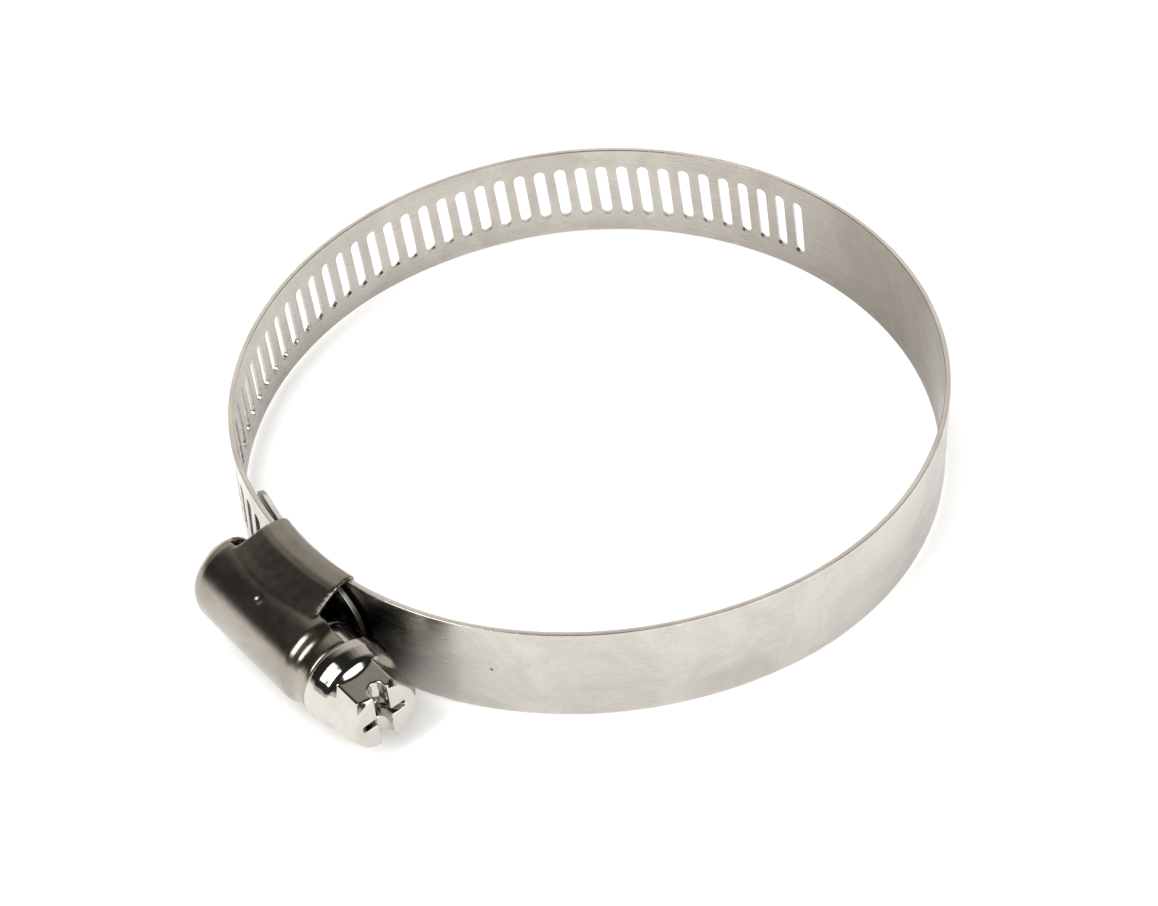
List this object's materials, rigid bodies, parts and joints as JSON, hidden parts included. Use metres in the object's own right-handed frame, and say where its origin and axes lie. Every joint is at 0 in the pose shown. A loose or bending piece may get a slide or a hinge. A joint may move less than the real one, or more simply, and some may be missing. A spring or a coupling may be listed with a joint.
{
  "type": "worm-drive hose clamp",
  "caption": "Worm-drive hose clamp: a slotted steel band loop drawn tight by a hex-head screw in a pressed housing.",
  "frame": {"origin": "centre of the round part of the loop, half way up the band", "axes": "+Z along the bore; the screw lies along X on the -Y side with its head towards +X"},
  "size_m": [0.078, 0.0906, 0.014],
  "materials": {
    "band_steel": "rolled stainless steel",
    "housing_steel": "satin pressed stainless steel",
    "screw_plate": "bright plated steel"
  },
  "bodies": {
    "housing": {"housing": "housing_steel", "band_fixed_end": "band_steel"},
    "band_01": {"band_length_01": "band_steel"},
    "band_02": {"band_length_02": "band_steel"},
    "band_03": {"band_length_03": "band_steel"},
    "band_04": {"band_length_04": "band_steel"},
    "band_05": {"band_length_05": "band_steel"},
    "band_06": {"band_length_06": "band_steel"},
    "band_07": {"band_length_07": "band_steel"},
    "band_08": {"band_length_08": "band_steel"},
    "band_09": {"band_length_09": "band_steel"},
    "band_10": {"band_length_10": "band_steel"},
    "band_11": {"band_length_11": "band_steel"},
    "band_12": {"band_length_12": "band_steel"},
    "band_13": {"band_length_13": "band_steel"},
    "band_tail": {"band_tail_end": "band_steel"},
    "screw": {"screw": "screw_plate"}
  },
  "joints": [
    {"name": "screw_turn", "type": "hinge", "parent": "housing", "child": "screw", "pos_m": [0, -0.04635, 0], "axis": [-1, 0, 0], "range_deg": [0, 2700]},
    {"name": "band_bend_01", "type": "hinge", "parent": "housing", "child": "band_01", "pos_m": [0.00988, -0.03963, 0], "axis": [0, 0, 1], "range_deg": [0, 9.63]},
    {"name": "band_bend_02", "type": "hinge", "parent": "band_01", "child": "band_02", "pos_m": [0.02168, -0.03349, 0], "axis": [0, 0, 1], "range_deg": [0, 0.792]},
    {"name": "band_bend_03", "type": "hinge", "parent": "band_02", "child": "band_03", "pos_m": [0.03163, -0.02231, 0], "axis": [0, 0, 1], "range_deg": [-3.79, 0]},
    {"name": "band_bend_04", "type": "hinge", "parent": "band_03", "child": "band_04", "pos_m": [0.03762, -0.00603, 0], "axis": [0, 0, 1], "range_deg": [-4.05, 0]},
    {"name": "band_bend_05", "type": "hinge", "parent": "band_04", "child": "band_05", "pos_m": [0.03617, 0.01196, 0], "axis": [0, 0, 1], "range_deg": [0, 0.765]},
    {"name": "band_bend_06", "type": "hinge", "parent": "band_05", "child": "band_06", "pos_m": [0.02661, 0.02727, 0], "axis": [0, 0, 1], "range_deg": [0, 10.02]},
    {"name": "band_bend_07", "type": "hinge", "parent": "band_06", "child": "band_07", "pos_m": [0.01108, 0.03645, 0], "axis": [0, 0, 1], "range_deg": [0, 9.82]},
    {"name": "band_bend_08", "type": "hinge", "parent": "band_07", "child": "band_08", "pos_m": [-0.00694, 0.03746, 0], "axis": [0, 0, 1], "range_deg": [-1.76, 0]},
    {"name": "band_bend_09", "type": "hinge", "parent": "band_08", "child": "band_09", "pos_m": [-0.0234, 0.03006, 0], "axis": [0, 0, 1], "range_deg": [-3.73, 0]},
    {"name": "band_bend_10", "type": "hinge", "parent": "band_09", "child": "band_10", "pos_m": [-0.03461, 0.01592, 0], "axis": [0, 0, 1], "range_deg": [-3.11, 0]},
    {"name": "band_bend_11", "type": "hinge", "parent": "band_10", "child": "band_11", "pos_m": [-0.03865, -0.00004, 0], "axis": [0, 0, 1], "range_deg": [0, 4.09]},
    {"name": "band_bend_12", "type": "hinge", "parent": "band_11", "child": "band_12", "pos_m": [-0.03638, -0.01633, 0], "axis": [0, 0, 1], "range_deg": [0, 8.82]},
    {"name": "band_bend_13", "type": "hinge", "parent": "band_12", "child": "band_13", "pos_m": [-0.02584, -0.03248, 0], "axis": [0, 0, 1], "range_deg": [-0.565, 0]},
    {"name": "band_bend_14", "type": "hinge", "parent": "band_13", "child": "band_tail", "pos_m": [-0.01105, -0.04055, 0], "axis": [0, 0, 1], "range_deg": [-1.96, 0]}
  ],
  "couplings": [
    {"joint": "band_bend_01", "follows": "screw_turn", "ratio": 0.003561},
    {"joint": "band_bend_02", "follows": "screw_turn", "ratio": 0.000286},
    {"joint": "band_bend_03", "follows": "screw_turn", "ratio": -0.001398},
    {"joint": "band_bend_04", "follows": "screw_turn", "ratio": -0.001494},
    {"joint": "band_bend_05", "follows": "screw_turn", "ratio": 0.000276},
    {"joint": "band_bend_06", "follows": "screw_turn", "ratio": 0.003702},
    {"joint": "band_bend_07", "follows": "screw_turn", "ratio": 0.003631},
    {"joint": "band_bend_08", "follows": "screw_turn", "ratio": -0.000646},
    {"joint": "band_bend_09", "follows": "screw_turn", "ratio": -0.001376},
    {"joint": "band_bend_10", "follows": "screw_turn", "ratio": -0.001145},
    {"joint": "band_bend_11", "follows": "screw_turn", "ratio": 0.001509},
    {"joint": "band_bend_12", "follows": "screw_turn", "ratio": 0.003258},
    {"joint": "band_bend_13", "follows": "screw_turn", "ratio": -0.000202},
    {"joint": "band_bend_14", "follows": "screw_turn", "ratio": -0.000719}
  ]
}
